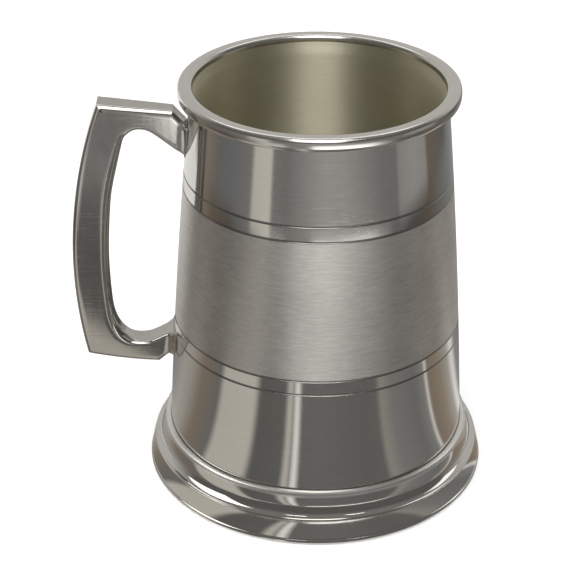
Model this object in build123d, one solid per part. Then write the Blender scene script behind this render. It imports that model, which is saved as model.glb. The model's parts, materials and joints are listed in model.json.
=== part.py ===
from build123d import *
import math
import os

# Straight-sided pewter tankard of one imperial pint, in millimetres.
# Origin: centre of the circle that the foot stands on. +Z is up, the handle lies towards -X.

# Overall sizes
HEIGHT = 125.0
CAPACITY_FLOOR_Z = 13.0      # inside bottom, which sets the brimful capacity to 568 ml

# Barrel: a spun, tapered tube, narrower at the mouth, with sides that swell very slightly
WALL = 1.5
WALL_LOW_Z = 10.5
WALL_TOP_Z = 122.0
WALL_LOW_R = 45.55           # outside radius at the lower end
WALL_TOP_R = 37.1            # outside radius under the lip
WALL_BELLY = 0.75            # how far the side swells beyond a straight cone, at mid height
LINE_HEIGHTS = (46.55, 50.85, 93.7, 98.2)   # incised lines, in two pairs
LINE_R = 0.38                # radius of the tool that cuts them

# Lip: the top edge of the barrel rolled outwards into a hollow bead
LIP_OUT_R = 40.7
LIP_IN_R = 36.2
LIP_TALL = 4.1
LIP_METAL = 1.1
LIP_SLIT = 0.15              # gap where the curl comes back to the wall

# Bottom plate, let into the lower end of the barrel
PLATE_THICK = 1.8

# Foot: a spun skirt with a bead, a cove, a plain band and a rolled edge
FOOT_TOP_Z = 14.9
BEAD_R = 47.2
BEAD_LOW_Z = 13.3
COVE_R = 46.95
COVE_TOP_Z = 13.05
SHELF_R = 50.35
SHELF_Z = 7.4
BAND_R = 51.7
BAND_LOW_Z = 1.75
ROLL_R = 52.05
STAND_OUT_R = 51.5
STAND_IN_R = 49.6
SKIRT_METAL = 1.5

# Handle: a flat-sided cast loop
HANDLE_THICK = 8.0
OUTER_ROUND = 1.4            # rounding of the outward-facing edges
INNER_ROUND = 2.3            # rounding of the edges that the fingers touch
FOOT_CORNER = 1.2            # rounding of the corners where it meets the barrel
FOOT_REACH = 3.0             # how far from the wall its ends start to spread
FOOT_DEEP = 5.4              # length over which they spread, partly inside the seat
THIN_FROM = 58.5             # distance from the axis where the upper arm starts to thin
THIN_TO = (38.3, 3.3)        # distance from the axis and half thickness at the upper arm's end
# outline of each end on the wall as half width and height, from the bottom up, and its section in the arm
UPPER_FOOT = {
    "wall": ((3.9, 102.0), (3.9, 105.8), (3.9, 109.6), (3.9, 113.6)),
    "arm_half": 3.0,
    "arm_z": (105.5, 108.5, 111.5, 114.8),
}
LOWER_FOOT = {
    "wall": ((5.0, 35.6), (6.6, 39.5), (7.0, 43.5), (5.4, 48.0)),
    "arm_half": 3.6,
    "arm_z": (37.0, 39.0, 41.0, 42.8),
}

# Soft solder
FILM = 0.2                   # thickness of the solder between two parts
BEAD = 0.6                   # how far it shows around a joint
HAIR = 0.02                  # clearance that keeps neighbouring solids apart


# the barrel's outside line, as one arc from its lower end to just under the lip
SIDE = SagittaArc((WALL_LOW_R, WALL_LOW_Z), (WALL_TOP_R, WALL_TOP_Z), -WALL_BELLY)


def wall_radius(z, out=0.0):
    """Radius at height z of the barrel's outside, or of a surface outside it by out."""
    centre = SIDE.arc_center
    return centre.X + math.sqrt((SIDE.radius + out) ** 2 - (z - centre.Y) ** 2)


def wall_arc(z0, z1, out=0.0):
    """The barrel's outside line from height z0 to z1, moved outwards by out."""
    points = [(wall_radius(z, out), z) for z in (z0, (z0 + z1) / 2, z1)]
    return ThreePointArc(*points)


def lathe(outline):
    """Turn a closed outline, given as radius and height, around the Z axis."""
    return revolve(Plane.XZ * make_face(outline), Axis.Z)


def wall_sleeve(z0, z1, inside, outside):
    """A ring that follows the barrel's side, between two distances from its outside surface."""
    inner, outer = wall_arc(z0, z1, inside), wall_arc(z0, z1, outside)
    ends = Line(inner @ 0, outer @ 0) + Line(inner @ 1, outer @ 1)
    return lathe(inner + outer + ends)


def make_barrel():
    lip_wide = (LIP_OUT_R - LIP_IN_R) / 2
    lip_tall = LIP_TALL / 2
    lip_at = Location((LIP_IN_R + lip_wide, HEIGHT - lip_tall))
    bead = lip_at * Ellipse(lip_wide, lip_tall)
    hollow = lip_at * Ellipse(lip_wide - LIP_METAL, lip_tall - LIP_METAL)
    inner = wall_arc(WALL_LOW_Z, WALL_TOP_Z, -WALL)
    outer = wall_arc(WALL_LOW_Z, WALL_TOP_Z)
    brim = (LIP_IN_R, HEIGHT - lip_tall)
    top = Line(inner @ 1, brim) + Line(brim, lip_at.position) + Line(lip_at.position, outer @ 1)
    wall = make_face(inner + outer + Line(inner @ 0, outer @ 0) + top)
    slit_low = HEIGHT - LIP_TALL
    slit_at = (wall_radius(slit_low) + LIP_SLIT / 2, slit_low + LIP_METAL / 2)
    slit = Location(slit_at) * Rectangle(LIP_SLIT, 2 * LIP_METAL)
    section = wall + (bead - hollow)
    barrel = revolve(Plane.XZ * (section - hollow - slit), Axis.Z)
    for z in LINE_HEIGHTS:
        groove_at = Location((wall_radius(z) + LINE_R * 0.25, z))
        barrel -= revolve(Plane.XZ * (groove_at * Circle(LINE_R)), Axis.Z)
    return barrel


def make_bottom_plate():
    low = CAPACITY_FLOOR_Z - PLATE_THICK
    inner = -WALL - HAIR
    edge = wall_arc(low, CAPACITY_FLOOR_Z, inner)
    sides = Line((0, low), edge @ 0) + Line((0, CAPACITY_FLOOR_Z), edge @ 1)
    return lathe(edge + sides + Line((0, low), (0, CAPACITY_FLOOR_Z)))


def make_foot_skirt():
    collar = wall_arc(WALL_LOW_Z, FOOT_TOP_Z, FILM)
    bead_mid = (BEAD_R - 0.4, FOOT_TOP_Z - 0.4)
    bead = ThreePointArc(collar @ 1, bead_mid, (BEAD_R, BEAD_LOW_Z))
    step = Line((BEAD_R, BEAD_LOW_Z), (COVE_R, COVE_TOP_Z))
    cove_size = (SHELF_R - COVE_R, COVE_TOP_Z - SHELF_Z)
    cove = EllipticalCenterArc((SHELF_R, COVE_TOP_Z), *cove_size, start_angle=180, arc_size=90)
    band_top = (SHELF_R + 0.15, SHELF_Z - 0.15)
    band_mid = ((band_top[0] + BAND_R) / 2 + 0.15, (band_top[1] + BAND_LOW_Z) / 2)
    band = ThreePointArc(band_top, band_mid, (BAND_R, BAND_LOW_Z))
    roll_top = (BAND_R - 0.1, BAND_LOW_Z - 0.25)
    roll = ThreePointArc(roll_top, (ROLL_R, roll_top[1] / 2), (STAND_OUT_R, 0))
    inside = [
        (STAND_OUT_R, 0),
        (STAND_IN_R, 0),
        (STAND_IN_R, 1.2),
        (BAND_R - SKIRT_METAL, BAND_LOW_Z),
        (SHELF_R - SKIRT_METAL, SHELF_Z - SKIRT_METAL),
    ]
    under_cove = ThreePointArc(inside[-1], (COVE_R - 0.3, SHELF_Z + 0.6), collar @ 0)
    edges = collar + bead + step + cove + Line(cove @ 1, band_top) + band
    edges += Line(band @ 1, roll_top) + roll + Polyline(*inside) + under_cove
    return lathe(edges)


def foot_section(distance, side, grow):
    """A section through an end of the handle, from the outline of its +Y side."""
    middle = (side[0][1] + side[-1][1]) / 2
    spread = [(y + grow, z + math.copysign(grow, z - middle)) for y, z in side]
    corners = spread + [(-y, z) for y, z in reversed(spread)]
    outline = fillet(make_face(Polyline(*corners, close=True)).vertices(), FOOT_CORNER)
    return Plane((-distance, 0, 0), x_dir=(0, 1, 0), z_dir=(1, 0, 0)) * outline


def foot_block(foot, grow=0.0):
    """The spreading end of the handle, before the barrel's side is cut out of it."""
    heights = [z for _, z in foot["wall"]]
    start = wall_radius((heights[0] + heights[-1]) / 2) + FOOT_REACH
    arm = foot_section(start, [(foot["arm_half"], z) for z in foot["arm_z"]], grow)
    wall = foot_section(start - FOOT_DEEP, foot["wall"], grow)
    return loft([arm, wall])


def handle_outline():
    """The loop seen from the side, as its finger side and its outward side."""
    finger = [
        (37.0, 102.3),
        (40.1, 104.4),
        (42.4, 106.0),
        (44.6, 107.9),
        (46.9, 109.8),
        (49.1, 111.3),
        (51.3, 111.9),
        (53.6, 111.6),
        (55.8, 109.8),
        (57.2, 106.2),
        (58.4, 101.0),
        (60.8, 90.0),
        (62.1, 77.0),
        (62.5, 66.0),
        (62.0, 53.5),
        (61.0, 48.2),
        (58.8, 44.3),
        (56.3, 42.2),
        (53.8, 41.4),
        (51.0, 41.7),
        (48.5, 42.8),
        (46.1, 44.1),
        (43.3, 45.7),
        (39.5, 47.9),
    ]
    finger_side = Spline(*[(-distance, height) for distance, height in finger])
    slant_low, slant_top, corner_top = (-37.2, 111.8), (-42.0, 117.4), (-63.5, 119.9)
    corner_low, heel, step, heel_in = (-70.0, 37.6), (-48.4, 34.5), (-45.4, 37.2), (-40.0, 37.6)
    outward = Line(slant_low, slant_top) + Line(slant_top, corner_top)
    outward += ThreePointArc(corner_top, (-73.0, 67.0), corner_low)
    outward += ThreePointArc(corner_low, (-60.0, 35.7), heel) + Line(heel, step) + Line(step, heel_in)
    ends = Line(slant_low, finger_side @ 0) + Line(heel_in, finger_side @ 1)
    return finger_side + outward + ends


def is_outward_edge(edge):
    """True for the straight and circular edges of the two flat sides, outside the barrel."""
    middle = edge @ 0.5
    on_side = abs(abs(middle.Y) - HANDLE_THICK / 2) < 0.01
    return on_side and edge.geom_type != GeomType.BSPLINE and middle.X < -40.0


def upper_arm_taper():
    """The two wedges taken off the sides of the upper arm, which thins towards the barrel."""
    end, half = THIN_TO
    full = HANDLE_THICK / 2
    slope = (full - half) / (THIN_FROM - end)
    inside = end - 4.0
    corners = [(-THIN_FROM, full), (-inside, full), (-inside, half - slope * (end - inside))]
    wedge = extrude(Plane.XY.offset(101.0) * make_face(Polyline(*corners, close=True)), HEIGHT - 101.0)
    return wedge + mirror(wedge, Plane.XZ)


def make_handle():
    side_plane = Plane.XZ.offset(-HANDLE_THICK / 2)
    loop = extrude(side_plane * make_face(handle_outline()), HANDLE_THICK)
    finger_edges = loop.edges().filter_by(GeomType.BSPLINE)
    loop = fillet(finger_edges, INNER_ROUND)
    loop = fillet(loop.edges().filter_by(is_outward_edge), OUTER_ROUND)
    loop -= upper_arm_taper()
    casting = loop + foot_block(UPPER_FOOT) + foot_block(LOWER_FOOT)
    return casting - make_seat(FILM)


def make_seat(out):
    """The barrel's outside as a solid plug, grown by out."""
    edge = wall_arc(WALL_LOW_Z, WALL_TOP_Z, out)
    sides = Line((0, WALL_LOW_Z), edge @ 0) + Line((0, WALL_TOP_Z), edge @ 1)
    return lathe(edge + sides + Line((0, WALL_LOW_Z), (0, WALL_TOP_Z)))


def make_handle_solder(foot, handle):
    """Solder between an end of the handle and the barrel, showing as a thin line around it."""
    low, high = foot["wall"][0][1], foot["wall"][-1][1]
    sleeve = wall_sleeve(low - 2, high + 2, HAIR, FILM + BEAD)
    return (foot_block(foot, BEAD) & sleeve) - handle


def make_foot_solder():
    """Solder drawn into the gap between the barrel and the collar of the foot."""
    return wall_sleeve(WALL_LOW_Z, FOOT_TOP_Z, HAIR, FILM - HAIR)


def make_bottom_solder():
    """A three-cornered bead of solder under the edge of the bottom plate."""
    low = CAPACITY_FLOOR_Z - PLATE_THICK - HAIR
    wall_in = wall_arc(WALL_LOW_Z, low, -WALL - HAIR)
    corner = (wall_in @ 1).X - 1.4
    return lathe(wall_in + Line(wall_in @ 1, (corner, low)) + Line((corner, low), wall_in @ 0))


def main():
    os.makedirs("parts", exist_ok=True)
    handle = make_handle()
    parts = {
        "barrel": make_barrel(),
        "bottom_plate": make_bottom_plate(),
        "foot_skirt": make_foot_skirt(),
        "handle": handle,
        "upper_handle_solder": make_handle_solder(UPPER_FOOT, handle),
        "lower_handle_solder": make_handle_solder(LOWER_FOOT, handle),
        "foot_seam_solder": make_foot_solder(),
        "bottom_seam_solder": make_bottom_solder(),
    }
    for name, shape in parts.items():
        export_step(shape, f"parts/{name}.step")


main()
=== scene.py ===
import json
import math

import bmesh
import bpy
from mathutils import Matrix, Vector

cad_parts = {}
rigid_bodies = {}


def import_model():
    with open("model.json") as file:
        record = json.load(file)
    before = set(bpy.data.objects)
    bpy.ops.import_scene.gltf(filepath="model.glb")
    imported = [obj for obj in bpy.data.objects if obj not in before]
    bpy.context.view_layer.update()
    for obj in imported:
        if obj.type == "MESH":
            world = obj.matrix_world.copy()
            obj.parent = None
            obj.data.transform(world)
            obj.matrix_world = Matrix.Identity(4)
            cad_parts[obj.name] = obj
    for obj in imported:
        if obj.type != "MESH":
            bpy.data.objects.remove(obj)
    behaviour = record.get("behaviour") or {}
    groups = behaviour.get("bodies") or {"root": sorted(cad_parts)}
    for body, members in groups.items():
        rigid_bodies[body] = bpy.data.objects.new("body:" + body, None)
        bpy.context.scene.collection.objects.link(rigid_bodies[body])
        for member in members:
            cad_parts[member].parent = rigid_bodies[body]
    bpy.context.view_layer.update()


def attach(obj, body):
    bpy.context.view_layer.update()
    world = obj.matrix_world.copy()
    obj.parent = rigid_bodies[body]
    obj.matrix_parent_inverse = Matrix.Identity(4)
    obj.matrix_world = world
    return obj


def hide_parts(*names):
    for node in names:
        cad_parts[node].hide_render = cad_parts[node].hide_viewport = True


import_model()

MM = 0.001
TURNS = 288                          # segments around a turned piece

# ------------------------------------------------------- shape of the metal, in millimetres

HEIGHT = 125.0
WALL = 1.5                           # thickness of the barrel's sheet
LOW_Z, TOP_Z = 10.5, 122.0           # ends of the barrel's side
LOW_R, TOP_R = 45.55, 37.1           # radius of its outside at those ends
BELLY = 0.75                         # how far the side bulges past a straight line
LINES = (46.55, 50.85, 93.7, 98.2)   # heights of the incised lines
LINE_R = 0.38                        # radius of the groove that makes a line
LINE_DROP = 0.25                     # how far its centre is off the wall, as a share of that
FLOOR_Z = 13.0                       # top of the bottom plate
PLATE_THICK = 1.8
PLATE_HUB = 3.0                      # radius of the first ring of points around its centre
SEAM_Z = 14.9                        # top of the foot's collar
FILM = 0.2                           # solder between the barrel and a piece around it
HAIR = 0.02                          # play between solder and its neighbours

# the rolled lip; points of a section are (radius, height)
LIP_CENTRE, LIP_HALF_R, LIP_HALF_Z = (38.45, HEIGHT - 2.05), 2.25, 2.05
LIP_START = -112.0                   # where the bead's section begins, under its outer side
LIP_SQUARE = 3.2                     # 2 is an ellipse; more is flatter with quicker corners
LIP_TUCK = 0.3                       # height of the crease under the bead
THROAT = ((36.17, 122.2), (36.1, 121.0))
THROAT_LOW, THROAT_OUT = 119.6, 0.03   # height where it meets the inside, and its step there
INSIDE_TOP = TOP_Z - 3.5

# the foot skirt, from its collar down; arcs are given by their middle and end
FOOT_BEAD = ((46.8, 14.5), (47.2, 13.3))
COVE_CENTRE, COVE_HALF_R, COVE_HALF_Z = (50.35, 13.05), 3.4, 5.65
FOOT_EDGE = ((50.46, 7.36), (50.5, 7.25))
FOOT_BAND = ((51.25, 4.5), (51.7, 1.75))
FOOT_ROLL = ((51.6, 1.5), (52.05, 0.75), (51.5, 0.0))
FOOT_INSIDE = [(49.6, 0.0), (49.6, 1.2), (50.2, 1.75), (48.85, 5.9)]
FOOT_ARCH = (46.65, 8.0)

COLLAR_SOLDER_LOW = 0.25             # how far the solder stays below the collar's top
PLATE_BEAD = (1.4, 0.5, 0.28)        # solder under the plate: width, place of crest, depth


def spread(a, b, n):
    """n evenly spaced values from a to b."""
    return [a + (b - a) * i / (n - 1) for i in range(n)]


def side_circle():
    """Centre and radius of the arc that the barrel's side follows."""
    dr, dz = TOP_R - LOW_R, TOP_Z - LOW_Z
    chord = math.hypot(dr, dz)
    radius = chord ** 2 / (8 * BELLY) + BELLY / 2
    back = radius - BELLY
    middle_r, middle_z = (LOW_R + TOP_R) / 2, (LOW_Z + TOP_Z) / 2
    return middle_r - back * dz / chord, middle_z + back * dr / chord, radius


SIDE_R, SIDE_Z, SIDE_ROUND = side_circle()


def wall_r(z, out=0.0):
    """Radius of the barrel's outside at height z, moved outwards by out."""
    return SIDE_R + math.sqrt((SIDE_ROUND + out) ** 2 - (z - SIDE_Z) ** 2)


def wall_line(z0, z1, out=0.0, n=12):
    """n points along the barrel's side, moved outwards by out."""
    return [(wall_r(z, out), z) for z in spread(z0, z1, n)]


def squared_oval(centre, half_r, half_z, start, end, n, power=2.0):
    """Points on an oval in the section, angles in degrees from outwards towards up."""
    points = []
    for a in spread(start, end, n):
        c, s = math.cos(math.radians(a)), math.sin(math.radians(a))
        r = (abs(c) ** power + abs(s) ** power) ** (-1 / power)
        points.append((centre[0] + half_r * r * c, centre[1] + half_z * r * s))
    return points


def arc3(p0, p1, p2, n):
    """n points on the circular arc through three points."""
    (ax, ay), (bx, by), (cx, cy) = p0, p1, p2
    d = 2 * (ax * (by - cy) + bx * (cy - ay) + cx * (ay - by))
    sa, sb, sc = ax * ax + ay * ay, bx * bx + by * by, cx * cx + cy * cy
    ux = (sa * (by - cy) + sb * (cy - ay) + sc * (ay - by)) / d
    uy = (sa * (cx - bx) + sb * (ax - cx) + sc * (bx - ax)) / d
    a0, a1, a2 = [math.atan2(y - uy, x - ux) for x, y in (p0, p1, p2)]
    turn = (a2 - a0) % (2 * math.pi)
    if (a1 - a0) % (2 * math.pi) > turn:
        turn -= 2 * math.pi
    radius = math.hypot(ax - ux, ay - uy)
    angles = [a0 + turn * t for t in spread(0, 1, n)]
    return [(ux + radius * math.cos(a), uy + radius * math.sin(a)) for a in angles]


def evenly(points, n):
    """n points at equal steps along a polyline."""
    lengths = [0.0]
    for a, b in zip(points, points[1:]):
        lengths.append(lengths[-1] + math.dist(a, b))
    result, i = [], 0
    for target in spread(0.0, lengths[-1], n):
        while i < len(points) - 2 and lengths[i + 1] < target:
            i += 1
        step = lengths[i + 1] - lengths[i]
        t = (target - lengths[i]) / step if step else 0.0
        result.append(tuple(a + (b - a) * t for a, b in zip(points[i], points[i + 1])))
    return result


def smooth_path(points, n, steps=24):
    """n points evenly spaced along a Catmull-Rom curve through the points."""
    fine = []
    padded = [points[0], *points, points[-1]]
    for quad in zip(padded, padded[1:], padded[2:], padded[3:]):
        for i in range(steps):
            t = i / steps
            fine.append(tuple(
                0.5 * (2 * b + (c - a) * t + (2 * a - 5 * b + 4 * c - d) * t * t
                       + (3 * b - a - 3 * c + d) * t ** 3)
                for a, b, c, d in zip(*quad)))
    fine.append(points[-1])
    return evenly(fine, n)


# ------------------------------------------------------- meshes


def link(name, data):
    """A new object in the scene."""
    thing = bpy.data.objects.new(name, data)
    bpy.context.scene.collection.objects.link(thing)
    return thing


def mesh_object(name, verts, faces, sharp=(), material_index=None):
    """A smooth-shaded mesh in metres from points in millimetres, with the given edges sharp."""
    mesh = bpy.data.meshes.new(name)
    mesh.from_pydata([(x * MM, y * MM, z * MM) for x, y, z in verts], [], faces)
    mesh.polygons.foreach_set("use_smooth", [True] * len(faces))
    if material_index:
        mesh.polygons.foreach_set("material_index", material_index)
    keys = {frozenset(pair) for pair in sharp}
    if keys:
        flags = [frozenset(edge.vertices) in keys for edge in mesh.edges]
        mesh.attributes.new("sharp_edge", "BOOLEAN", "EDGE").data.foreach_set("value", flags)
    work = bmesh.new()
    work.from_mesh(mesh)
    bmesh.ops.recalc_face_normals(work, faces=work.faces)
    work.to_mesh(mesh)
    work.free()
    return link(name, mesh)


def turned(name, runs):
    """A solid of revolution from a closed section, given as (material, points) runs.

    Each run starts where the one before it ends, and the edge between two runs is sharp.
    """
    profile, corners, finishes = [], [], []
    for finish, points in runs:
        corners.append(len(profile) - 1 if profile else 0)
        profile.extend(points[1:] if profile else points)
        finishes.extend([finish] * (len(points) - 1))
    if profile[0] == profile[-1]:
        profile.pop()
    kinds = list(dict.fromkeys(finishes))
    verts, faces, sharp, index, rings = [], [], [], [], []
    for r, z in profile:
        count = TURNS if r > 1e-6 else 1
        rings.append(list(range(len(verts), len(verts) + count)))
        angles = [2 * math.pi * k / TURNS for k in range(count)]
        verts.extend((r * math.cos(a), r * math.sin(a), z) for a in angles)
    for i, finish in enumerate(finishes):
        low, high = rings[i], rings[(i + 1) % len(rings)]
        for k in range(TURNS):
            m = (k + 1) % TURNS
            quad = (low[k % len(low)], low[m % len(low)], high[m % len(high)], high[k % len(high)])
            faces.append(tuple(dict.fromkeys(quad)))
            index.append(kinds.index(finish))
    for i in corners:
        if len(rings[i]) > 1:
            sharp.extend((rings[i][k], rings[i][(k + 1) % TURNS]) for k in range(TURNS))
    thing = mesh_object(name, verts, faces, sharp, index)
    for kind in kinds:
        thing.data.materials.append(kind)
    return thing


# ------------------------------------------------------- materials

PEWTER = (0.62, 0.605, 0.57)
CAST_TINT = 0.13                     # how far cast metal's tone wanders
SLOPE = 0.83                         # how fast the lathe's lines follow the radius


class Nodes:
    """Short calls for building one node tree."""

    def __init__(self, tree):
        self.tree = tree

    def new(self, kind, **settings):
        node = self.tree.nodes.new(kind)
        for key, value in settings.items():
            setattr(node, key, value)
        return node

    def feed(self, socket, value):
        """Links a socket, or sets its value."""
        if isinstance(value, bpy.types.NodeSocket):
            self.tree.links.new(value, socket)
        else:
            socket.default_value = value

    def place(self):
        """Object coordinates, which are the CAD frame's, in metres."""
        return self.new("ShaderNodeTexCoord").outputs["Object"]

    def split(self, vector):
        node = self.new("ShaderNodeSeparateXYZ")
        self.feed(node.inputs[0], vector)
        return node.outputs

    def math(self, operation, *values):
        node = self.new("ShaderNodeMath", operation=operation)
        for socket, value in zip(node.inputs, values):
            self.feed(socket, value)
        return node.outputs[0]

    def radius(self, x, y):
        """Distance from the axis."""
        squares = self.math("MULTIPLY", x, x), self.math("MULTIPLY", y, y)
        return self.math("SQRT", self.math("ADD", *squares))

    def total(self, start, *terms):
        """start plus each (value, centre, weight) as weight * (value - centre)."""
        for value, centre, weight in terms:
            step = self.math("MULTIPLY", self.math("SUBTRACT", value, centre), weight)
            start = self.math("ADD", start, step)
        return start

    def vector(self, x, y, z):
        node = self.new("ShaderNodeCombineXYZ")
        for socket, value in zip(node.inputs, (x, y, z)):
            self.feed(socket, value)
        return node.outputs[0]

    def noise(self, vector, scale=1.0, detail=2.0, rough=0.5):
        """Noise whose scale is per metre when the vector is a place."""
        node = self.new("ShaderNodeTexNoise")
        self.feed(node.inputs["Vector"], vector)
        node.inputs["Scale"].default_value = scale
        node.inputs["Detail"].default_value = detail
        node.inputs["Roughness"].default_value = rough
        return node.outputs["Fac"]

    def remap(self, value, low, high):
        """0 at low, 1 at high, and held at those beyond."""
        node = self.new("ShaderNodeMapRange", clamp=True)
        self.feed(node.inputs["Value"], value)
        node.inputs["From Min"].default_value = low
        node.inputs["From Max"].default_value = high
        return node.outputs[0]

    def mix(self, fac, a, b):
        """Colour a where fac is 0, b where it is 1."""
        node = self.new("ShaderNodeMix", data_type="RGBA")
        self.feed(node.inputs["Factor"], fac)
        self.feed(node.inputs[6], a)
        self.feed(node.inputs[7], b)
        return node.outputs[2]

    def mapped(self, vector, scale, turn=(0, 0, 0)):
        node = self.new("ShaderNodeMapping")
        self.feed(node.inputs["Vector"], vector)
        node.inputs["Scale"].default_value = scale
        node.inputs["Rotation"].default_value = turn
        return node.outputs[0]

    def bump(self, height, distance):
        node = self.new("ShaderNodeBump")
        node.inputs["Strength"].default_value = 1.0
        node.inputs["Distance"].default_value = distance
        self.feed(node.inputs["Height"], height)
        return node.outputs[0]


def new_material(name):
    """A new material and the helper for its nodes."""
    material = bpy.data.materials.new(name)
    material.use_nodes = True
    return material, Nodes(material.node_tree)


def metal(name):
    """A new metallic material, with its node helper, shader and object coordinates."""
    material, n = new_material(name)
    shader = material.node_tree.nodes["Principled BSDF"]
    shader.inputs["Metallic"].default_value = 1.0
    return material, n, shader, n.place()


def spin_coordinates(n, place):
    """Direction around the axis, and distance along the section, of a point on a turned piece."""
    x, y, z = n.split(place)
    radius = n.math("MAXIMUM", n.radius(x, y), 0.0005)
    along = n.math("ADD", z, n.math("MULTIPLY", radius, SLOPE))
    return n.math("DIVIDE", x, radius), n.math("DIVIDE", y, radius), along


def streaks(n, spin, around, across, detail=3.0):
    """Noise drawn out around the axis: changes per radian around it, and per metre across it."""
    dx, dy, along = spin
    drawn_out = n.vector(n.math("MULTIPLY", dx, around), n.math("MULTIPLY", dy, around),
                         n.math("MULTIPLY", along, across))
    return n.noise(drawn_out, 1.0, detail, 0.6)


def scratches(n, place, *kinds):
    """Sparse fine scratches; each kind is (direction, width, length, threshold)."""
    marks = []
    for turn, width, length, threshold in kinds:
        stretched = n.mapped(place, (1 / length, 1 / width, 1 / width), turn)
        marks.append(n.remap(n.noise(stretched, 1.0, 0.0, 0.4), threshold, threshold + 0.05))
    return n.math("MAXIMUM", *marks)


def shades(colour, tint):
    """A darker and a lighter tone of a colour."""
    dark = tuple(c * (1 - tint) for c in colour) + (1.0,)
    light = tuple(min(1.0, c * (1 + tint)) for c in colour) + (1.0,)
    return dark, light


def finish_metal(n, shader, shade, tones, gloss, least, height, depth):
    """Feeds the worked-out shade, gloss and relief to the shader."""
    n.feed(shader.inputs["Base Color"], n.mix(n.remap(shade, 0.0, 1.0), *tones))
    n.feed(shader.inputs["Roughness"], n.math("MAXIMUM", gloss, least))
    n.feed(shader.inputs["Normal"], n.bump(height, depth))


def spun_metal(name, colour, rough, depth, around, across, uneven=0.05, tint=0.12, scratch=0.5,
               wavy=0.0, anisotropy=0.0):
    """Metal finished on a lathe: fine lines round the axis, cloudy polish, a few scratches.

    depth is the relief in metres, around and across set the lines as in streaks, uneven is
    how much the gloss varies, tint how much the tone does, scratch how strong the scratches
    are, and wavy how far the lines wander, in metres.
    """
    material, n, shader, place = metal(name)
    dx, dy, along = spin_coordinates(n, place)
    along = n.total(along, (n.noise(place, 55.0, 1.0), 0.5, wavy))
    spin = (dx, dy, along)
    lines = streaks(n, spin, around, across)
    broad = streaks(n, spin, around * 0.35, across * 0.22, 2.0)
    cloud = n.noise(place, 38.0, 4.0, 0.55)
    specks = n.noise(place, 170.0, 3.0, 0.6)
    marks = scratches(n, place, ((0.3, 0.5, 0.9), 0.00025, 0.009, 0.70),
                      ((1.1, -0.4, 0.2), 0.0003, 0.012, 0.72))
    shade = n.total(0.5, (lines, 0.5, 1.0), (cloud, 0.5, 0.8), (marks, 0.0, 0.8 * scratch))
    gloss = n.total(rough, (cloud, 0.45, uneven * 2.0), (lines, 0.5, uneven * 1.5),
                    (specks, 0.5, uneven), (marks, 0.0, 0.12 * scratch))
    height = n.total(0.0, (lines, 0.0, 0.6), (broad, 0.0, 0.8), (marks, 0.0, -0.4 * scratch))
    finish_metal(n, shader, shade, shades(colour, tint), gloss, 0.05, height, depth)
    if anisotropy:
        shader.inputs["Anisotropic"].default_value = anisotropy
        shader.inputs["Anisotropic Rotation"].default_value = 0.25
        around_axis = n.new("ShaderNodeTangent", direction_type="RADIAL", axis="Z")
        n.feed(shader.inputs["Tangent"], around_axis.outputs[0])
    return material


def cast_metal(name, colour, rough, depth):
    """Cast and hand-finished metal: soft unevenness, a lengthwise grain and small scratches."""
    material, n, shader, place = metal(name)
    cloud = n.noise(place, 45.0, 5.0, 0.6)
    grain = n.noise(n.mapped(place, (420.0, 420.0, 90.0)), 1.0, 3.0, 0.6)
    fine = n.noise(place, 900.0, 2.0, 0.5)
    marks = scratches(n, place, ((0.2, 1.35, 0.1), 0.0003, 0.010, 0.70),
                      ((0.1, 0.5, 0.3), 0.0003, 0.012, 0.71))
    shade = n.total(0.5, (cloud, 0.5, 1.6), (grain, 0.5, 0.7))
    gloss = n.total(rough, (cloud, 0.5, 0.12), (grain, 0.5, 0.08), (marks, 0.0, 0.06))
    height = n.total(0.0, (cloud, 0.0, 1.0), (grain, 0.0, 0.25), (fine, 0.0, 0.05),
                     (marks, 0.0, -0.08))
    finish_metal(n, shader, shade, shades(colour, CAST_TINT), gloss, 0.06, height, depth)
    return material


polished = spun_metal("pewter_polished", PEWTER, rough=0.075, depth=6e-7, around=5.0,
                      across=1300.0, uneven=0.018, tint=0.05)
satin = spun_metal("pewter_satin", (0.68, 0.66, 0.62), rough=0.5, depth=4e-5, around=9.0,
                   across=1900.0, uneven=0.08, tint=0.26, scratch=0.3, wavy=0.0016,
                   anisotropy=0.85)
# the foot's bead gets a lighter copy of the metal: painted highlight along the bead
bead_painted_highlight = spun_metal("pewter_bead_painted_highlight", (0.74, 0.73, 0.70), rough=0.34, depth=6e-7, around=5.0,
                        across=1300.0, uneven=0.02, tint=0.05, scratch=0.2)
lip = spun_metal("pewter_lip", PEWTER, rough=0.16, depth=8e-7, around=5.0, across=1500.0,
                 uneven=0.03, tint=0.06, scratch=0.4)
# the inside and the top of the bottom plate get a lighter, warmer copy of the metal: painted light
# standing in for light bounced round the inside
inside = spun_metal("pewter_inside_painted_light", (0.80, 0.76, 0.60), rough=0.5, depth=6e-6, around=4.0,
                    across=1400.0, tint=0.07, scratch=0.1, anisotropy=0.93)
# the incised lines, the crease under the lip and the foot's groove get a much darker colour than
# the polished metal: painted shade in these recesses
groove_painted_shade = spun_metal("pewter_groove_painted_shade", (0.30, 0.29, 0.27), rough=0.2, depth=2e-6, around=6.0,
                    across=2600.0)
under = spun_metal("pewter_underside", (0.5, 0.49, 0.46), rough=0.42, depth=1e-5, around=5.0,
                   across=900.0, uneven=0.1, tint=0.24)
cast = cast_metal("pewter_cast", (0.52, 0.505, 0.475), rough=0.1, depth=3e-5)
solder = cast_metal("soft_solder", (0.50, 0.49, 0.46), rough=0.34, depth=1.5e-4)

# ------------------------------------------------------- turned pieces


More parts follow.
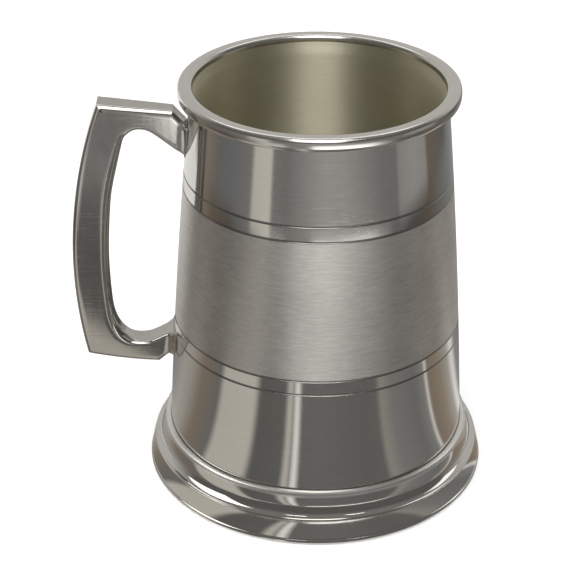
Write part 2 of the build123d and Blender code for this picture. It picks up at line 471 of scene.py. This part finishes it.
def barrel_runs():
    """Section of the barrel: up the outside, round the lip, down the inside."""
    runs, low = [], LOW_Z
    drop = LINE_R * LINE_DROP
    half = math.sqrt(LINE_R ** 2 - drop ** 2)
    for z, band in zip(LINES, (polished, polished, satin, polished)):
        runs.append((band, wall_line(low, z - half)))
        ends = [(wall_r(end), end) for end in (z - half, z + half)]
        runs.append((groove_painted_shade, arc3(ends[0], (wall_r(z) + drop - LINE_R, z), ends[1], 9)))
        low = z + half
    under_lip = LIP_CENTRE[1] - LIP_HALF_Z + LIP_TUCK
    top_band = wall_line(low, under_lip)
    bead = squared_oval(LIP_CENTRE, LIP_HALF_R, LIP_HALF_Z, LIP_START, 180.0, 84, LIP_SQUARE)
    inner = wall_line(INSIDE_TOP, LOW_Z, -WALL, n=24)
    throat = [*THROAT, (wall_r(THROAT_LOW, -WALL) + THROAT_OUT, THROAT_LOW)]
    return runs + [
        (polished, top_band),
        (groove_painted_shade, [top_band[-1], (bead[0][0], under_lip), bead[0]]),
        (lip, bead),
        (inside, [bead[-1]] + throat + inner),
        (under, [inner[-1], (wall_r(LOW_Z), LOW_Z)]),
    ]


def foot_runs():
    """Section of the foot skirt, from the top of its collar outwards, down, and back inside."""
    bead = arc3((wall_r(SEAM_Z, FILM), SEAM_Z), *FOOT_BEAD, 14)
    cove = squared_oval(COVE_CENTRE, COVE_HALF_R, COVE_HALF_Z, 180, 270, 28)
    edge = arc3(cove[-1], *FOOT_EDGE, 6)
    band = arc3(edge[-1], *FOOT_BAND, 16)
    roll = arc3(*FOOT_ROLL, 14)
    arch = arc3(FOOT_INSIDE[-1], FOOT_ARCH, (wall_r(LOW_Z, FILM), LOW_Z), 12)
    collar = wall_line(LOW_Z, SEAM_Z, FILM, n=4)
    return [
        (bead_painted_highlight, bead), (polished, [bead[-1], cove[0]]), (polished, cove), (polished, edge),
        (polished, band), (groove_painted_shade, [band[-1], roll[0]]), (polished, roll),
        (under, [roll[-1], FOOT_INSIDE[0]]), (under, FOOT_INSIDE), (under, arch), (under, collar),
    ]


def plate_runs():
    """Section of the bottom plate: out along the top, down the edge, back along the bottom."""
    low = FLOOR_Z - PLATE_THICK
    top_r, low_r = wall_r(FLOOR_Z, -WALL - HAIR), wall_r(low, -WALL - HAIR)
    return [
        (inside, [(0.0, FLOOR_Z)] + [(r, FLOOR_Z) for r in spread(PLATE_HUB, top_r, 14)]),
        (under, [(top_r, FLOOR_Z), (low_r, low)]),
        (under, [(r, low) for r in spread(low_r, PLATE_HUB, 14)] + [(0.0, low)]),
    ]


def foot_solder_runs():
    """Section of the solder between the barrel and the foot's collar."""
    top = SEAM_Z - COLLAR_SOLDER_LOW
    inner = wall_line(LOW_Z, top, HAIR, n=4)
    outer = wall_line(top, LOW_Z, FILM - HAIR, n=4)
    return [(solder, inner), (solder, [inner[-1], outer[0]]), (solder, outer),
            (solder, [outer[-1], inner[0]])]


def bottom_solder_runs():
    """Section of the solder in the corner under the bottom plate."""
    width, crest, depth = PLATE_BEAD
    low = FLOOR_Z - PLATE_THICK - HAIR
    wall = wall_line(LOW_Z, low, -WALL - HAIR, n=3)
    corner = (wall[-1][0] - width, low)
    bead = arc3(corner, (wall[-1][0] - crest, low - depth), wall[0], 6)
    return [(solder, wall), (solder, [wall[-1], corner]), (solder, bead)]


def stand_for(thing, node):
    """Puts a piece in the place of a CAD node, on the one body."""
    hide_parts(node)
    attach(thing, "root")


stand_for(turned("barrel_shell", barrel_runs()), "barrel")
stand_for(turned("foot_moulding", foot_runs()), "foot_skirt")
stand_for(turned("bottom_disc", plate_runs()), "bottom_plate")
stand_for(turned("foot_seam", foot_solder_runs()), "foot_seam_solder")
stand_for(turned("bottom_seam", bottom_solder_runs()), "bottom_seam_solder")

# ------------------------------------------------------- handle, in millimetres

HALF_THICK = 4.0
OUTER_ROUND = 1.4                    # round along the outward edges
ARM_ROUND, GRIP_ROUND = 0.9, 2.3     # round along the finger edges, on the arms and the grip
GRIP_FROM, GRIP_OVER = 53.0, 6.5     # distance from the axis where arm turns into grip
THIN_ABOVE = 100.0                   # the upper arm thins towards the barrel ...
THIN_FROM, THIN_RATE = 58.5, 0.0347  # ... from this distance, by this much a millimetre
FLARE_REACH = 2.4                    # how far from the barrel the ends spread
BEND_REACH = 12.0                    # how far out the loop still curves round the barrel
ACROSS_FLAT, ACROSS_ROUND, ACROSS_EDGE = 8, 6, 4

# half-width that the spread adds on the barrel's surface, by height
FLARE = ((34.0, 0.6), (37.0, 1.8), (41.3, 2.4), (46.3, 2.2), (50.4, 1.2), (52.5, 0.5),
         (100.0, 0.2), (105.0, 0.4), (109.0, 0.6), (113.0, 0.7))

# the loop's outward side as (distance from the axis, height): straight runs, and arcs of three
OUTWARD = (
    ((37.6, 112.3), (42.0, 117.4)),
    ((42.0, 117.4), (63.5, 119.9)),
    ((63.5, 119.9), (73.0, 67.0), (70.0, 37.6)),
    ((70.0, 37.6), (60.0, 35.7), (48.4, 34.5)),
    ((48.4, 34.5), (45.4, 37.2)),
    ((45.4, 37.2), (43.2, 37.3)),
)
# the matching runs of the finger side, as smooth curves
FINGER = (
    ((38.3, 103.2), (40.1, 104.4), (41.6, 105.4)),
    ((41.6, 105.4), (44.6, 107.9), (46.9, 109.8), (49.1, 111.3), (51.3, 111.9), (53.6, 111.6),
     (55.8, 109.8), (56.6, 108.2)),
    ((56.6, 108.2), (58.4, 101.0), (60.8, 90.0), (62.1, 77.0), (62.5, 66.0), (62.0, 53.5),
     (61.0, 48.2), (59.6, 45.3)),
    ((59.6, 45.3), (58.2, 43.6), (56.3, 42.1), (53.8, 41.4), (51.0, 41.7), (48.5, 42.8)),
    ((48.5, 42.8), (47.2, 43.5), (46.1, 44.1)),
    ((46.1, 44.1), (44.6, 45.0), (43.1, 46.0)),
)
RUN_POINTS = (9, 24, 72, 20, 6, 6)   # sections along each run

SEAM_REACH, SEAM_LUMP = 0.55, 0.25   # width of the handle's solder, and how much it varies
SEAM_STEP, SEAM_RISE = 0.14, 0.3     # its shoulder, and how far it climbs to the next section
SEAM_UNDER = 0.9                     # how much of the handle's end it fills underneath


def between(table, x):
    """Straight-line lookup in (x, value) pairs."""
    for (x0, v0), (x1, v1) in zip(table, table[1:]):
        if x <= x1:
            return v0 + (v1 - v0) * max(0.0, (x - x0) / (x1 - x0))
    return table[-1][1]


def handle_paths():
    """Matching points along the loop's outward and finger sides, and its crisp corners."""
    outer_line, inner_line, corners = [], [], []
    for outward, finger, count in zip(OUTWARD, FINGER, RUN_POINTS):
        outer_run = arc3(*outward, count) if len(outward) == 3 else evenly(outward, count)
        inner_run = smooth_path(finger, count)
        corners.append(len(outer_line) - 1)
        outer_line.extend(outer_run[1:] if outer_line else outer_run)
        inner_line.extend(inner_run[1:] if inner_line else inner_run)
    return outer_line, inner_line, corners[1:]


def inset(line, side):
    """At each point of a line, the direction into the metal, longer at corners for a mitre."""
    result = []
    for i in range(len(line)):
        normals = []
        for a, b in ((i - 1, i), (i, i + 1)):
            if a >= 0 and b < len(line):
                dx, dz = line[b][0] - line[a][0], line[b][1] - line[a][1]
                long = math.hypot(dx, dz)
                normals.append((side * dz / long, -side * dx / long))
        nx, nz = [sum(v[axis] for v in normals) / len(normals) for axis in (0, 1)]
        short = nx * nx + nz * nz
        result.append((nx / short, nz / short))
    return result


def quarter(edge, into, radius, angles):
    """Points on the round from an edge of the loop (angle 0) to its flat side."""
    points = []
    for a in angles:
        depth = radius * (1 - math.cos(a))
        y = HALF_THICK - radius * (1 - math.sin(a))
        points.append((edge[0] + into[0] * depth, y, edge[1] + into[1] * depth))
    return points


def handle_ring(outer, outer_in, inner, inner_in):
    """One section across the loop, as (distance, y, height) points all the way round it."""
    grip = min(1.0, max(0.0, (inner[0] - GRIP_FROM) / GRIP_OVER))
    inner_round = ARM_ROUND + (GRIP_ROUND - ARM_ROUND) * grip * grip * (3 - 2 * grip)
    out_turns = [math.pi / 2 * i / ACROSS_ROUND for i in range(ACROSS_ROUND + 1)]
    in_turns = [math.pi / 2 * (1 - i / ACROSS_ROUND) for i in range(ACROSS_ROUND + 1)]
    half = [(outer[0], (HALF_THICK - OUTER_ROUND) * i / ACROSS_EDGE, outer[1])
            for i in range(ACROSS_EDGE)]
    half += quarter(outer, outer_in, OUTER_ROUND, out_turns)
    far_round = quarter(inner, inner_in, inner_round, in_turns)
    start, end = half[-1], far_round[0]
    half += [tuple(a + (b - a) * i / ACROSS_FLAT for a, b in zip(start, end))
             for i in range(1, ACROSS_FLAT)]
    half += far_round
    half += [(inner[0], (HALF_THICK - inner_round) * (1 - i / ACROSS_EDGE), inner[1])
             for i in range(1, ACROSS_EDGE + 1)]
    return half + [(s, -y, z) for s, y, z in reversed(half[1:-1])]


def onto_barrel(point):
    """Thins and spreads a handle point, and bends it round the barrel when it is near."""
    s, y, z = point
    if z > THIN_ABOVE:
        y *= 1 - THIN_RATE * max(0.0, THIN_FROM - s) / HALF_THICK
    away = max(s - wall_r(z, FILM), 0.0)
    near = max(0.0, 1 - away / FLARE_REACH) ** 2.0
    y *= 1 + near * between(FLARE, z) / HALF_THICK
    flat = wall_r(z, FILM) + away
    bent = math.sqrt(flat * flat - y * y)
    weight = max(0.0, 1 - away / BEND_REACH)
    return -(bent * weight + flat * (1 - weight)), y, z


def handle_rings():
    """All the sections along the loop, and the stations with a crisp corner."""
    outer, inner, corners = handle_paths()
    stations = zip(outer, inset(outer, 1), inner, inset(inner, -1))
    return [[onto_barrel(p) for p in handle_ring(*station)] for station in stations], corners


def skin(rings, close_ends=False):
    """Quads between rings of equal size."""
    size, faces = len(rings[0]), []
    for i in range(len(rings) - 1):
        low, high = i * size, (i + 1) * size
        faces.extend((low + k, low + (k + 1) % size, high + (k + 1) % size, high + k)
                     for k in range(size))
    if close_ends:
        last = (len(rings) - 1) * size
        faces.append(tuple(range(size - 1, -1, -1)))
        faces.append(tuple(range(last, last + size)))
    return faces


def handle_mesh(rings, corners):
    """The whole loop, with its outward corners sharp."""
    size = len(rings[0])
    reach = ACROSS_EDGE + ACROSS_ROUND
    sharp = []
    for station in corners:
        for k in [*range(reach), *range(size - reach, size)]:
            sharp.append((station * size + k, station * size + (k + 1) % size))
    return mesh_object("handle_casting", [p for ring in rings for p in ring],
                       skin(rings, close_ends=True), sharp)


def on_wall(y, z, out):
    """The point at y and z on the barrel's handle side, moved outwards by out."""
    r = wall_r(z, out)
    return -math.sqrt(r * r - y * y), y, z


def seam_mesh(name, contact, above):
    """A small fillet of solder round an end of the handle.

    contact is the handle's section on the barrel, and above is one further out.
    """
    middle_y, middle_z = [sum(p[axis] for p in contact) / len(contact) for axis in (1, 2)]
    foot_loop, mid_loop, top_loop, under_loop = [], [], [], []
    for p, q in zip(contact, above):
        away = Vector((0.0, p[1] - middle_y, p[2] - middle_z)).normalized()
        lump = 1 + SEAM_LUMP * math.sin(3 * p[2]) * math.cos(2 * p[1] + p[2])
        reach = SEAM_REACH * lump
        foot_loop.append(on_wall(p[1] + reach * away.y, p[2] + reach * away.z, HAIR))
        mid_loop.append(on_wall(p[1] + SEAM_STEP * away.y, p[2] + SEAM_STEP * away.z, FILM))
        top_loop.append(tuple(a + (b - a) * SEAM_RISE for a, b in zip(p, q)))
        under_loop.append(on_wall(p[1] * SEAM_UNDER, middle_z + (p[2] - middle_z) * SEAM_UNDER,
                                  HAIR))
    loops = [foot_loop, mid_loop, top_loop, under_loop]
    size, last = len(contact), 3 * len(contact)
    back = [(last + k, last + (k + 1) % size, (k + 1) % size, k) for k in range(size)]
    return mesh_object(name, [p for loop in loops for p in loop], skin(loops) + back)


rings, corners = handle_rings()
handle = handle_mesh(rings, corners)
handle.data.materials.append(cast)
stand_for(handle, "handle")
for name, node, contact, above in (
    ("upper_seam", "upper_handle_solder", rings[0], rings[3]),
    ("lower_seam", "lower_handle_solder", rings[-1], rings[-4]),
):
    seam = seam_mesh(name, contact, above)
    seam.data.materials.append(solder)
    stand_for(seam, node)

# ------------------------------------------------------- camera

FOCAL_LENGTH = 108.84
CAMERA_AT = (-24.17, -461.16, 315.74)
CAMERA_FORWARD = Vector((0.02909823, 0.87224268, -0.48820692))
CAMERA_RIGHT = Vector((0.99949062, -0.0317938, 0.00276829))

lens = bpy.data.cameras.new("camera")
lens.lens = FOCAL_LENGTH
lens.sensor_width = 36.0
lens.clip_start = 0.01
eye = link("camera", lens)
camera_up = CAMERA_RIGHT.cross(CAMERA_FORWARD)
eye.matrix_world = Matrix([
    (r, u, -f, at * MM)
    for r, u, f, at in zip(CAMERA_RIGHT, camera_up, CAMERA_FORWARD, CAMERA_AT)
] + [(0, 0, 0, 1)])
bpy.context.scene.camera = eye
bpy.context.scene.view_settings.view_transform = "Standard"

# ------------------------------------------------------- floor, in metres

FLOOR_HALF = 4.0

floor_mesh = bpy.data.meshes.new("floor")
floor_mesh.from_pydata([(x * FLOOR_HALF, y * FLOOR_HALF, 0)
                        for x, y in ((-1, -1), (1, -1), (1, 1), (-1, 1))], [], [(0, 1, 2, 3)])
link("floor", floor_mesh)
floor_paint, n = new_material("pale_floor")
paper = n.noise(n.place(), 60.0, 3.0)
floor_shader = floor_paint.node_tree.nodes["Principled BSDF"]
floor_shader.inputs["Roughness"].default_value = 0.9
floor_shader.inputs["Specular IOR Level"].default_value = 0.0
n.feed(floor_shader.inputs["Base Color"],
       n.mix(paper, (0.90, 0.90, 0.90, 1), (0.93, 0.93, 0.93, 1)))
floor_mesh.materials.append(floor_paint)

# ------------------------------------------------------- the table that the metal mirrors

PLAIN, CREAM = (1.0, 0.99, 0.97), (1.0, 0.96, 0.88)
BROWN, BLUE = (1.0, 0.82, 0.66), (0.94, 0.98, 1.04)

# what lies around the tankard, as (direction, brightness, tone unless plain); directions are
# in degrees from the camera's side towards +X. One list each for near the foot, for a hand's
# breadth out, and for the rest of the table.
NEAR_CARDS = (
    (-150, 0.10), (-122, 0.30), (-108, 0.45, CREAM), (-98, 0.40, CREAM), (-86, 0.26, BROWN),
    (-70, 0.19), (-66, 0.60, CREAM), (-43, 0.63, CREAM), (-39, 0.14), (-22, 0.16),
    (-19, 0.75, CREAM), (-17, 0.30), (-14.5, 1.15), (-11.5, 0.18), (0, 0.19), (27, 0.16),
    (37, 0.17), (40, 0.35, CREAM), (48, 0.25), (66, 0.20), (75, 0.28), (77, 0.90),
    (79, 0.26, BROWN), (92, 0.34, BROWN), (103, 0.45, CREAM), (110, 0.90), (118, 0.30),
    (150, 0.10),
)
MID_CARDS = (
    (-150, 0.90), (-122, 0.95), (-112, 0.30, BROWN), (-96, 0.17, BROWN), (-76, 0.11, BROWN),
    (-55, 0.22), (-42, 0.75), (-30, 0.85), (-26, 0.28), (-9.5, 0.28), (-5.5, 2.1), (0, 2.6),
    (25, 2.5), (36, 1.9), (46, 0.6), (57, 0.16), (75, 0.08), (95, 0.14, BROWN), (115, 0.2),
    (150, 0.30),
)
FAR_CARDS = (
    (-170, 1.05), (-128, 1.05), (-124, 0.24, BROWN), (-105, 0.28, BROWN), (-92, 0.18),
    (-75, 0.20, BLUE), (-58, 0.24), (-55, 0.65, CREAM), (-41, 0.70, CREAM), (-39, 0.24),
    (-28, 0.22), (-12, 0.33), (3, 0.42), (18, 0.39), (33, 0.30), (49, 0.22), (62, 0.21),
    (65, 0.33), (80, 0.38), (94, 0.35), (97, 0.20, BROWN), (125, 0.14), (140, 0.27),
    (170, 0.50),
)
NEAR_TO_MID = (0.185, 0.235)         # radii between which one list passes into the next
MID_TO_FAR = (0.30, 0.34)
TABLE_INNER, TABLE_OUTER, TABLE_SIDES = 0.0523, 60.0, 96
TABLE_LIFT = 0.0004


def card_ramp(n, turn, cards):
    """The colour of a list of cards in the direction turn, which is 0 to 1 for a full circle."""
    ramp = n.new("ShaderNodeValToRGB")
    n.feed(ramp.inputs[0], turn)
    stops = ramp.color_ramp.elements
    while len(stops) < len(cards):
        stops.new(0.5)
    for stop, (degrees, level, *tone) in zip(stops, cards):
        stop.position = degrees / 360 + 0.5
        stop.color = tuple(level * c for c in (tone[0] if tone else PLAIN)) + (1.0,)
    return ramp.outputs[0]


def mirrored_table():
    """A ring that only reflections see, a hair above the floor around the foot."""
    verts, faces = [], []
    for k in range(TABLE_SIDES):
        a = 2 * math.pi * k / TABLE_SIDES
        verts += [(r * math.cos(a), r * math.sin(a), TABLE_LIFT)
                  for r in (TABLE_INNER, TABLE_OUTER)]
        this, following = 2 * k, 2 * ((k + 1) % TABLE_SIDES)
        faces.append((this, this + 1, following + 1, following))
    mesh = bpy.data.meshes.new("table_cards")
    mesh.from_pydata(verts, [], faces)
    ring = link("table_cards", mesh)
    paint, n = new_material("table_cards")
    paint.node_tree.nodes.clear()
    x, y, _ = n.split(n.place())
    turn = n.math("ARCTAN2", x, n.math("MULTIPLY", y, -1.0))
    turn = n.total(0.5, (turn, 0.0, 1 / (2 * math.pi)))
    radius = n.radius(x, y)
    near, mid, far = [card_ramp(n, turn, cards) for cards in (NEAR_CARDS, MID_CARDS, FAR_CARDS)]
    colour = n.mix(n.remap(radius, *NEAR_TO_MID), near, mid)
    colour = n.mix(n.remap(radius, *MID_TO_FAR), colour, far)
    glow = n.new("ShaderNodeEmission")
    n.feed(glow.inputs["Color"], colour)
    n.feed(n.new("ShaderNodeOutputMaterial").inputs["Surface"], glow.outputs[0])
    paint.cycles.emission_sampling = "NONE"
    mesh.materials.append(paint)
    for ray in ("camera", "diffuse", "transmission", "volume_scatter", "shadow"):
        setattr(ring, "visible_" + ray, False)


mirrored_table()

# ------------------------------------------------------- lamps, in metres

AIM = Vector((0, 0, 0.06))
WHITE, WARM = (1, 1, 1), (1.0, 0.98, 0.94)

# direction in degrees from the camera's side towards +X, elevation, distance, size, radiance
LAMPS = (
    ("key", -3, 42, 1.3, (0.8, 0.8), 2.3, WHITE),
    ("top", 0, 76, 1.2, (0.55, 0.5), 3.0, WHITE),
    ("left", -84, 38, 1.5, (0.9, 0.9), 2.2, WARM),
    ("right", 105, 30, 1.5, (0.4, 0.8), 1.2, WHITE),
    ("back", 180, 58, 1.5, (1.4, 0.5), 1.2, WHITE),
    ("left_spark", -20, 60, 1.3, (0.22, 0.06), 5.0, WHITE),
    ("right_spark", 35, 56, 1.3, (0.22, 0.06), 4.0, WHITE),
)


def softbox(name, direction, elevation, distance, size, radiance, colour):
    """A rectangular soft light aimed at the tankard."""
    light = bpy.data.lights.new(name, "AREA")
    light.shape = "RECTANGLE"
    light.size, light.size_y = size
    light.energy = radiance * math.pi * size[0] * size[1]
    light.color = colour
    lamp = link(name, light)
    a, e = math.radians(direction), math.radians(elevation)
    way = Vector((math.sin(a) * math.cos(e), -math.cos(a) * math.cos(e), math.sin(e)))
    lamp.location = AIM + distance * way
    lamp.rotation_mode = "QUATERNION"
    lamp.rotation_quaternion = (lamp.location - AIM).to_track_quat("Z", "Y")
    return lamp


def spare(piece, *lamps):
    """Keeps lamps off one piece, which would only catch them as glare."""
    lit = bpy.data.collections.new("lit_without_" + piece)
    for thing in bpy.context.scene.objects:
        if thing.type == "MESH" and thing.name != piece:
            lit.objects.link(thing)
    for lamp in lamps:
        lamp.light_linking.receiver_collection = lit


lamps = {lamp[0]: softbox(*lamp) for lamp in LAMPS}
spare("foot_moulding", lamps["key"], lamps["top"])
spare("barrel_shell", lamps["left"], lamps["right"])

# ------------------------------------------------------- the room around

ROOM_LIGHT = (0.93, 0.93, 0.93, 1)
MIRRORED_FRONT = (0.13, 0.127, 0.122, 1)
MIRRORED_BACK = (0.62, 0.61, 0.59, 1)
MIRRORED_CEILING = (0.24, 0.235, 0.23, 1)

world = bpy.data.worlds.new("studio")
bpy.context.scene.world = world
world.use_nodes = True
world.node_tree.nodes.clear()
n = Nodes(world.node_tree)
_, backwards, upwards = n.split(n.new("ShaderNodeTexCoord").outputs["Generated"])
walls = n.mix(n.remap(backwards, 0.05, 0.55), MIRRORED_FRONT, MIRRORED_BACK)
mirrored = n.mix(n.remap(upwards, 0.58, 0.82), walls, MIRRORED_CEILING)
glossy = n.new("ShaderNodeLightPath").outputs["Is Glossy Ray"]
sky = n.new("ShaderNodeBackground")
n.feed(sky.inputs["Color"], n.mix(glossy, ROOM_LIGHT, mirrored))
n.feed(n.new("ShaderNodeOutputWorld").inputs["Surface"], sky.outputs[0])
